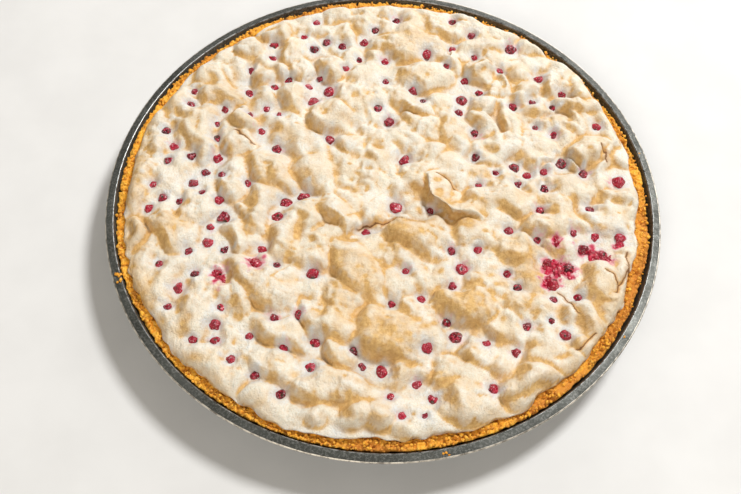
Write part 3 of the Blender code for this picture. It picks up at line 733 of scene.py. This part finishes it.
def browning_and_shade(x, y, z, height, filling):
    """How far each place is browned or given a painted shade, lighter on rounded crowns as painted light,
    and how pale the hollows are, partly a painted shade.
    """
    uneven = 0.0011 * ripples(x, y, 0.030, 0.009, 71)
    steep, forward, cleft = slope_and_cleft(x, y, z)
    brown_and_shade = 0.28 * smooth_step(height + uneven, -0.0010, 0.0050)
    # Steep sides get tan as painted shade.
    brown_and_shade = brown_and_shade + 0.15 * smooth_step(steep + 80 * uneven, 0.22, 0.80)
    from_middle = np.hypot(x, y)
    inside = 1 - smooth_step(from_middle, 0.134, 0.144)
    # Slopes that fall to the front left, away from the window lamp, get tan as painted shade, less of it
    # near the rim.
    brown_and_shade = brown_and_shade + 0.68 * smooth_step(forward + 60 * uneven, 0.06, 0.66) * (0.30 + 0.70 * inside)
    # Clefts get tan as painted shade, and rounded crowns lose tan as painted light.
    brown_and_shade = brown_and_shade + 0.90 * smooth_step(cleft, 0.00006, 0.00050)
    brown_and_shade = brown_and_shade - 0.25 * smooth_step(-cleft, 0.00004, 0.00040)
    for side, spread, inner, strength in TOASTED_EDGES:
        outermost = smooth_step(from_middle, inner, 0.146)
        brown_and_shade = brown_and_shade + strength * outermost * nearness_round(np.arctan2(y, x), side, spread)
    ragged = 1 + 0.25 * ripples(x, y, 0.012, 0.005, 72)
    # Browned patches, and the painted shade in the hollow beside the tall fold.
    for px, py, reach, strength in BROWN_AND_SHADE_PATCHES:
        distance = np.hypot(x / MM - px, y / MM - py) * ragged
        brown_and_shade = brown_and_shade + strength * bell(distance / reach) * (1 - 0.5 * brown_and_shade)
    # Along the tall fold's crest the tan is taken away: a painted highlight.
    from_crest, _, _ = beside_path(x / MM, y / MM, RIDGES[0][0])
    brown_and_shade = brown_and_shade * (1 - 0.9 * bell(from_crest / 1.3))
    # The hollows and the rings round the currants are pale unbrowned meringue, made a darker grey-blue than
    # the cream that also stands for the shade there: partly a painted shade.
    pale = 0.85 * (1 - smooth_step(height + 0.5 * uneven, -0.0052, -0.0014))
    ragged = 1 + 0.18 * ripples(x, y, 0.010, 0.004, 73)
    for currant in filling.currants:
        distance = np.hypot(x - currant.x, y - currant.y) * ragged
        pale = np.maximum(pale, 0.95 * np.exp(-(distance / (1.50 * currant.radius)) ** 3))
    return np.clip(brown_and_shade * (1 - 0.75 * pale), 0, 1.2), pale


def lean_fold(x, y):
    """The tall fold in the middle leans over the hollow beside it."""
    path, left, right, _ = RIDGES[0]
    distance, side, passed = beside_path(x / MM, y / MM, path)
    width = np.where(side > 0, 0.7 * left, right)
    share = np.minimum(1, 5 * passed * (1 - passed)) * bell(distance / width)
    return x + FOLD_LEAN[0] * share ** 1.5, y + FOLD_LEAN[1] * share ** 1.5


def close_below(x, y, z, quads, rim):
    """The points and faces of the meringue's body: its top, its edge and its flat underside."""
    angle = np.arctan2(y[rim], x[rim])
    edge = np.hypot(x[rim], y[rim])
    under = crust_top(angle) + 0.5 * GAP
    bottom = TIN_SHEET + 2 * GAP + CRUST_BASE
    skirt = [(edge - 0.2 * EDGE_LIFT, under + 0.5 * EDGE_LIFT), (edge - EDGE_LIFT, under),
             (edge - LAP - GAP, under), (edge - LAP - GAP - CRUST_INNER_LEAN, np.full_like(edge, bottom))]
    points = [np.column_stack([x, y, z])]
    loops = [rim.tolist()]
    for number, (radius, height) in enumerate(skirt):
        points.append(np.column_stack([radius * np.cos(angle), radius * np.sin(angle), height]))
        start = len(x) + number * len(rim)
        loops.append(list(range(start, start + len(rim))))
    faces = quads.tolist()
    for upper, lower in zip(loops, loops[1:]):
        for step in range(len(rim)):
            after = (step + 1) % len(rim)
            faces.append((upper[after], upper[step], lower[step], lower[after]))
    faces.append(loops[-1])
    return np.vstack(points), faces


def build_meringue(filling):
    x, y, quads, rim = disc_places()
    depth, crack, beside_crack = split_skin(x, y)
    fine = wrinkles(x, y, filling.mounds) + currant_rims(x, y, filling.currants)
    z = surface_height(x, y, filling, fine - depth - burst_depth(x, y))
    z = -np.logaddexp(-z / TOP_BLEND, -HIGHEST / TOP_BLEND) * TOP_BLEND
    level = MERINGUE_LEVEL + MERINGUE_DOME * (1 - (np.hypot(x, y) / MERINGUE_RADIUS) ** 2)
    brown_and_shade, pale = browning_and_shade(x, y, z, z - level, filling)
    stain = stain_strength(x, y, filling)
    x, y = lean_fold(x, y)
    points, faces = close_below(x, y, z, quads, rim)
    below = len(points) - len(x)
    values = {"brown_and_shade": (brown_and_shade, 0.35), "pale": (pale, 0.2), "stain": (stain, 0), "crack": (crack, 0),
              "beside_crack": (np.clip(beside_crack, -5, 5), 5)}
    attributes = {name: np.append(top, np.full(below, value)) for name, (top, value) in values.items()}
    piece = add_mesh("meringue_top", points, faces, meringue_material(), attributes)
    bind(piece, "meringue", "meringue")


def crumb_lumps(point, size, seed):
    """How high a crumbly surface stands at a point: rounded lumps with clefts between them, 0 to 1."""
    distances = noise.voronoi(point / size + Vector((seed, 0, 0)))[0]
    return max(0.0, min(1.0, (distances[1] - distances[0]) * 1.4))


def crumbled(point, outward, number, rough, notch):
    """A point of one of the crust's rings in its crumbly place, and how low it lies there, from 0 to 1."""
    coarse = crumb_lumps(point, 0.0034, 1.7)
    small = crumb_lumps(point, 0.0018, 5.1)
    low = 1 - (0.60 * min(1, coarse * 1.35) + 0.40 * min(1, small * 1.35))
    low = min(1.0, low * rough + 0.55 * notch)
    if number < CRUST_WALL_RINGS:
        return point - outward * (0.0005 * low), low
    lift = 0.0008 * noise.noise(point / 0.005) + 0.0005 - CRUMB_DEPTH * low
    if number < CRUST_WALL_RINGS + 3:
        point = point - outward * (0.0004 * low)
    return point + Vector((0, 0, lift)), low


def crust_rings(angle):
    """The radius and height of each ring of the crust, from under its base over its top to its floor."""
    gap = crust_gap(angle)
    top = crust_top(angle)
    inner = edge_radius(angle) - LAP
    outer = tin_wall_radius(top - CRUST_LIP) - gap + 0.0002
    ragged = 0.0007 * smooth_step(waves_round(angle, 40, 160, 84), -0.6, 1.6)
    base = TIN_SHEET + GAP
    bend = base + TIN_CORNER
    level = np.ones_like(angle)
    rings = [(0.02 * level, base * level),
             ((TIN_BASE_RADIUS - TIN_CORNER) * level - gap, base * level),
             (tin_wall_radius(bend) * level - gap, bend * level)]
    for share in (0.3, 0.6, 0.85):
        height = bend + (top - CRUST_LIP - bend) * share
        rings.append((tin_wall_radius(height) - gap, height))
    across = 16
    for number in range(across + 1):
        share = number / across
        radius = outer - ragged * (1 - share) ** 2 + (inner - 0.001 - outer) * share
        from_side = min(share, 1 - share) * across / 2.2
        rings.append((radius, top - 0.7 * CRUST_LIP * max(0.0, 1 - from_side) ** 2))
    rings.append((inner - CRUST_INNER_LEAN, (base + CRUST_BASE) * level))
    rings.append((0.02 * level, (base + CRUST_BASE) * level))
    return rings


def darkening_round_crust(angle):
    """How far the crust is darkened: browned most at the front right, darker at the back, and lighter at
    the front left, a painted light on crust that the meringue's edge shades.
    """
    darkening_share = smooth_step(waves_round(angle, 2, 13, 81) + 0.9 * np.cos(angle + 0.6), -0.4, 1.8)
    at_back = 0.8 * bell((angle - 1.9) / 0.42)
    # A lighter crust at the front left is painted light, standing in for light where the meringue's edge
    # shades it.
    painted_light_front_left = 0.6 * bell((angle - 3.8) / 0.7)
    return np.clip(darkening_share + at_back - painted_light_front_left, 0, 1)


def build_crust():
    angle = np.arange(CRUST_STEPS) * tau / CRUST_STEPS
    rings = crust_rings(angle)
    darkening_share = darkening_round_crust(angle)
    notch = smooth_step(waves_round(angle, 50, 190, 83), 1.1, 2.0)
    rough = 0.50 + 0.50 * smooth_step(waves_round(angle, 3, 24, 82) + 0.9 * np.cos(angle + 0.4), -0.8, 0.8)
    points, depth, crust_darkening = [], [], []
    for number, (radius, height) in enumerate(rings):
        shown = 3 <= number < len(rings) - 2
        for step, a in enumerate(angle):
            outward = Vector((cos(a), sin(a), 0))
            point = outward * radius[step] + Vector((0, 0, height[step]))
            low = 0.0
            if shown:
                point, low = crumbled(point, outward, number, rough[step], notch[step])
            points.append(tuple(point))
            depth.append(low)
            crust_darkening.append(darkening_share[step] * (1.0 if number < 12 else 0.7))
    faces = loft_faces(len(rings), CRUST_STEPS)
    faces.append(list(range(CRUST_STEPS))[::-1])
    faces.append(list(range((len(rings) - 1) * CRUST_STEPS, len(rings) * CRUST_STEPS)))
    attributes = {"depth": depth, "crust_darkening": crust_darkening}
    piece = add_mesh("crust_shell", np.array(points), faces, crust_material(), attributes)
    bind(piece, "crust", "crust")


def tin_profile():
    """The tin's outline as radius and height, and the first and last place of the bead in it."""
    wall_top = tin_wall_radius(TIN_HEIGHT)
    inner_bend = tin_wall_radius(TIN_SHEET + TIN_CORNER)
    flat = TIN_BASE_RADIUS - TIN_CORNER
    profile = [(0.0, TIN_SHEET), (0.06, TIN_SHEET), (flat, TIN_SHEET)]
    for number in range(1, 6):
        turn = pi / 2 * number / 5
        profile.append((flat + (inner_bend - flat) * sin(turn), TIN_SHEET + TIN_CORNER * (1 - cos(turn))))
    profile += [(tin_wall_radius(0.014), 0.014), (tin_wall_radius(0.022), 0.022)]
    for number in range(6):
        turn = pi / 2 * (1 - number / 5)
        profile.append((wall_top + 0.6 * TIN_SHEET - TIN_SHEET * sin(turn),
                        TIN_HEIGHT - TIN_SHEET + TIN_SHEET * cos(turn)))
    bead_start = len(profile)
    bead_height = TIN_HEIGHT - FLANGE_DROP - 0.2 * EDGE_BEAD
    for number in range(9):
        turn = radians(100 - 220 * number / 8)
        profile.append((RIM_RADIUS - EDGE_BEAD + EDGE_BEAD * cos(turn),
                        bead_height + 1.15 * EDGE_BEAD * sin(turn)))
    bead_end = len(profile) - 1
    profile += [
        (wall_top + 1.8 * TIN_SHEET, TIN_HEIGHT - 1.3 * TIN_SHEET),
        (wall_top + 0.9 * TIN_SHEET, TIN_HEIGHT - 2.2 * TIN_SHEET),
        (tin_wall_radius(0.014) + TIN_SHEET, 0.014),
        (inner_bend + TIN_SHEET, TIN_CORNER),
        (TIN_BASE_RADIUS + 0.1 * TIN_CORNER, 0.2 * TIN_CORNER),
        (TIN_BASE_RADIUS - 0.8 * TIN_CORNER, 0.0),
        (0.06, 0.0),
        (0.0, 0.0),
    ]
    return profile, bead_start, bead_end


def build_tin():
    """The tin, turned finely, with materials of their own on its bare edge, whose light cream metal is
    partly a painted highlight, and on its inner corner, whose lighter metal is a painted highlight.
    """
    profile, bead_start, bead_end = tin_profile()
    mesh = bpy.data.meshes.new("tin_shell")
    mesh.from_pydata([(r, 0, z) for r, z in profile], [(n, n + 1) for n in range(len(profile) - 1)], [])
    piece = show("tin_shell", mesh)
    turn = piece.modifiers.new("turned", "SCREW")
    turn.steps = turn.render_steps = TURNING_STEPS
    turn.use_merge_vertices = True
    turn.merge_threshold = 0.00001
    turn.use_smooth_shade = True
    evaluated = piece.evaluated_get(bpy.context.evaluated_depsgraph_get())
    piece.data = bpy.data.meshes.new_from_object(evaluated)
    piece.modifiers.clear()
    for material in (tin_material(), bare_edge_and_highlight_material(), corner_highlight_material()):
        piece.data.materials.append(material)
    for face in piece.data.polygons:
        reach = hypot(face.center.x, face.center.y)
        # The bead takes the bare edge's metal, partly a painted highlight, and the inner corner the lighter
        # metal of its painted highlight.
        if reach > profile[bead_start][0] + 0.0001 and face.center.z >= profile[bead_end][1]:
            face.material_index = 1
        if reach < tin_wall_radius(TIN_HEIGHT) + 0.0004 and face.center.z > TIN_HEIGHT - 0.6 * TIN_SHEET:
            face.material_index = 2
    piece.data.set_sharp_from_angle(angle=radians(50))
    bind(piece, "tin", "tin")


def unit_sphere(segments, rings):
    """The points and faces of a sphere of radius 1, with its poles on Z."""
    points = [(0, 0, 1)]
    for ring in range(1, rings):
        polar = pi * ring / rings
        for step in range(segments):
            a = tau * step / segments
            points.append((sin(polar) * cos(a), sin(polar) * sin(a), cos(polar)))
    points.append((0, 0, -1))
    faces = []
    for step in range(segments):
        after = (step + 1) % segments
        faces.append((0, 1 + step, 1 + after))
        last = 1 + (rings - 2) * segments
        faces.append((len(points) - 1, last + after, last + step))
        for ring in range(rings - 2):
            start = 1 + ring * segments
            faces.append((start + step, start + segments + step, start + segments + after, start + after))
    return np.array(points), faces


def burst_lumps(draw, filling, ball):
    """The torn flesh and skins in the burst hollows, as small flat fruit."""
    lumps = []
    for burst in BURSTS:
        turn = radians(burst.turn)
        for _ in range(burst.lumps):
            along = burst.along * MM * draw.triangular(-1, 1, 0)
            across = burst.across * MM * draw.triangular(-1, 1, 0)
            x = burst.x * MM + along * cos(turn) - across * sin(turn)
            y = burst.y * MM + along * sin(turn) + across * cos(turn)
            place = np.array([x]), np.array([y])
            z = float(surface_height(*place, filling, -burst_depth(*place))[0])
            lumps.append(Fruit(np.array([x, y, z]), draw.uniform(0.0008, 0.0021), draw.uniform(0.7, 1.7),
                               draw.uniform(0.4, 0.7), ball))
    return lumps


def shrivelled(sphere, around, ring_share, flatness, draw):
    """A sphere's points dented, wrinkled, squashed and turned."""
    shape = np.ones(len(sphere))
    for _ in range(draw.randint(9, 15)):
        heading = Vector((draw.gauss(0, 1), draw.gauss(0, 1), draw.gauss(0, 1))).normalized()
        near = sphere @ np.array(heading)
        shape = np.minimum(shape, draw.uniform(0.74, 0.96) / np.maximum(near, 0.2))
        shape -= draw.uniform(0.0, 0.18) * np.exp(-((1 - near) / 0.07))
        shape += 0.020 * np.sin(draw.uniform(4, 9) * near + draw.uniform(0, 6))
    wrinkle = 0.025 * np.sin(9 * around + 1.5 * np.sin(2 * around + draw.uniform(0, 6))) * ring_share
    shape += wrinkle * draw.uniform(0.4, 1.6)
    squash = np.array([1, draw.uniform(0.86, 1.0), draw.uniform(0.9, 1.04)])
    if flatness < WHOLE_FRUIT:
        squash = np.array([draw.uniform(1.0, 1.7), draw.uniform(0.6, 0.9), flatness])
    turn = Matrix.Rotation(draw.uniform(0, tau), 3, "Z") @ Matrix.Rotation(draw.uniform(0, 2.4), 3, "X")
    return (sphere * shape[:, None] * squash) @ np.array(turn).T


def build_currants(filling):
    """All the currants as one piece: shrivelled, dented and each of its own tone."""
    draw = random.Random(91)
    ball = unit_sphere(24, 15)
    fruit = [Fruit(currant_centre(currant, filling), currant.radius, draw.betavariate(2.2, 1.8), 1.0, ball)
             for currant in filling.currants]
    points, faces, tones, veins, tips = [], [], [], [], []
    for each in fruit + burst_lumps(draw, filling, unit_sphere(14, 9)):
        sphere, sphere_faces = each.ball
        around = np.arctan2(sphere[:, 1], sphere[:, 0])
        ring_share = np.hypot(sphere[:, 0], sphere[:, 1])
        local = shrivelled(sphere, around, ring_share, each.flatness, draw)
        start = sum(len(block) for block in points)
        points.append(each.centre + local * each.radius)
        faces += [tuple(start + corner for corner in face) for face in sphere_faces]
        tones.append(np.full(len(sphere), each.tone))
        veins.append(np.clip(np.cos(9 * around), 0, 1) ** 6 * ring_share * draw.uniform(0, 1))
        has_tip = draw.random() < 0.6 and each.flatness > WHOLE_FRUIT
        tips.append(smooth_step(sphere[:, 2], 0.90, 0.97) * has_tip)
    attributes = {"tone": np.concatenate(tones), "vein": np.concatenate(veins), "tip": np.concatenate(tips)}
    piece = add_mesh("currants", np.vstack(points), faces, currant_material(), attributes)
    bind(piece, "currant", *[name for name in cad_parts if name.startswith("currant_")])


def build_crumbs():
    """Loose crumbs of shortcrust on the crust, and a few on the tin's flange."""
    draw = random.Random(101)
    sphere, sphere_faces = unit_sphere(7, 5)
    points, faces = [], []

    def add(x, y, z, size):
        shape = np.array([draw.uniform(0.55, 1.15) for _ in range(len(sphere))])
        squash = np.array([draw.uniform(0.8, 1.3), draw.uniform(0.7, 1.1), draw.uniform(0.5, 0.9)])
        turn = Matrix.Rotation(draw.uniform(0, tau), 3, "Z") @ Matrix.Rotation(draw.uniform(0, 0.7), 3, "X")
        local = (sphere * shape[:, None] * squash) @ np.array(turn).T
        start = sum(len(block) for block in points)
        points.append(np.array([x, y, z + 0.35 * size]) + local * size)
        faces.extend(tuple(start + corner for corner in face) for face in sphere_faces)

    for _ in range(LOOSE_CRUMBS):
        a = draw.uniform(0, tau)
        angle = np.array([a])
        inner = float(edge_radius(angle)[0])
        outer = float(tin_wall_radius(CRUST_TOP) - crust_gap(angle)[0])
        r = draw.uniform(inner, outer - 0.0006)
        add(r * cos(a), r * sin(a), float(crust_top(angle)[0]) - 0.0006, draw.uniform(0.0004, 0.0012))
    for x, y, size in FLANGE_CRUMBS:
        reach = hypot(x, y) * MM
        along = (reach - tin_wall_radius(TIN_HEIGHT)) / FLANGE_WIDTH
        add(x * MM, y * MM, TIN_HEIGHT - FLANGE_DROP * along, size * MM)
    attributes = {"depth": np.zeros(sum(len(block) for block in points)),
                  "crust_darkening": np.concatenate([np.full(len(block), draw.uniform(0, 0.9)) for block in points])}
    shortcrust = bpy.data.materials["golden shortcrust"]
    piece = add_mesh("crumbs", np.vstack(points), faces, shortcrust, attributes)
    bind(piece, "crust")


def build_floor():
    mesh = bpy.data.meshes.new("floor")
    corners = [(FLOOR_HALF * x, FLOOR_HALF * y, 0) for x, y in ((-1, -1), (1, -1), (1, 1), (-1, 1))]
    mesh.from_pydata(corners, [], [(0, 1, 2, 3)])
    mesh.materials.append(floor_material())
    floor = show("floor", mesh)
    floor.location.z = -0.0002


def place_camera():
    """The photograph's view: from the front and well above, a little rolled."""
    elevation = radians(CAMERA_ELEVATION)
    roll = radians(CAMERA_ROLL)
    forward = Vector((0, cos(elevation), -sin(elevation)))
    right = Vector((1, 0, 0))
    up = right.cross(forward)
    rolled_right = right * cos(roll) + up * sin(roll)
    rolled_up = up * cos(roll) - right * sin(roll)
    data = bpy.data.cameras.new("camera")
    data.sensor_width = 36
    data.lens = 50
    data.clip_start = 0.01
    camera = show("camera", data)
    turn = Matrix((rolled_right, rolled_up, -forward)).transposed().to_4x4()
    camera.matrix_world = Matrix.Translation(CAMERA_PLACE) @ turn
    bpy.context.scene.camera = camera


def area_light(name, place, size, power, colour):
    data = bpy.data.lights.new(name, "AREA")
    data.shape = "DISK"
    data.size = size
    data.energy = power
    data.color = colour
    light = show(name, data)
    light.location = place
    light.rotation_euler = (Vector(place) - Vector(LIT_PLACE)).to_track_quat("Z", "Y").to_euler()


def light_scene():
    area_light("window", (0.86, 0.80, 1.66), 0.48, 38, (1.0, 0.998, 0.990))
    area_light("fill", (-0.45, -1.45, 1.35), 1.1, 17, (1.0, 0.96, 0.89))
    area_light("back", (0.5, 1.8, 0.65), 1.0, 11, (1.0, 0.98, 0.96))
    world = bpy.data.worlds.new("studio")
    world.use_nodes = True
    world.node_tree.nodes["Background"].inputs[0].default_value = (1.0, 0.92, 0.80, 1)
    world.node_tree.nodes["Background"].inputs[1].default_value = 0.18
    bpy.context.scene.world = world
    bpy.context.scene.view_settings.view_transform = "Standard"


tart_filling = make_filling()
build_tin()
build_crust()
build_meringue(tart_filling)
build_currants(tart_filling)
build_crumbs()
build_floor()
place_camera()
light_scene()
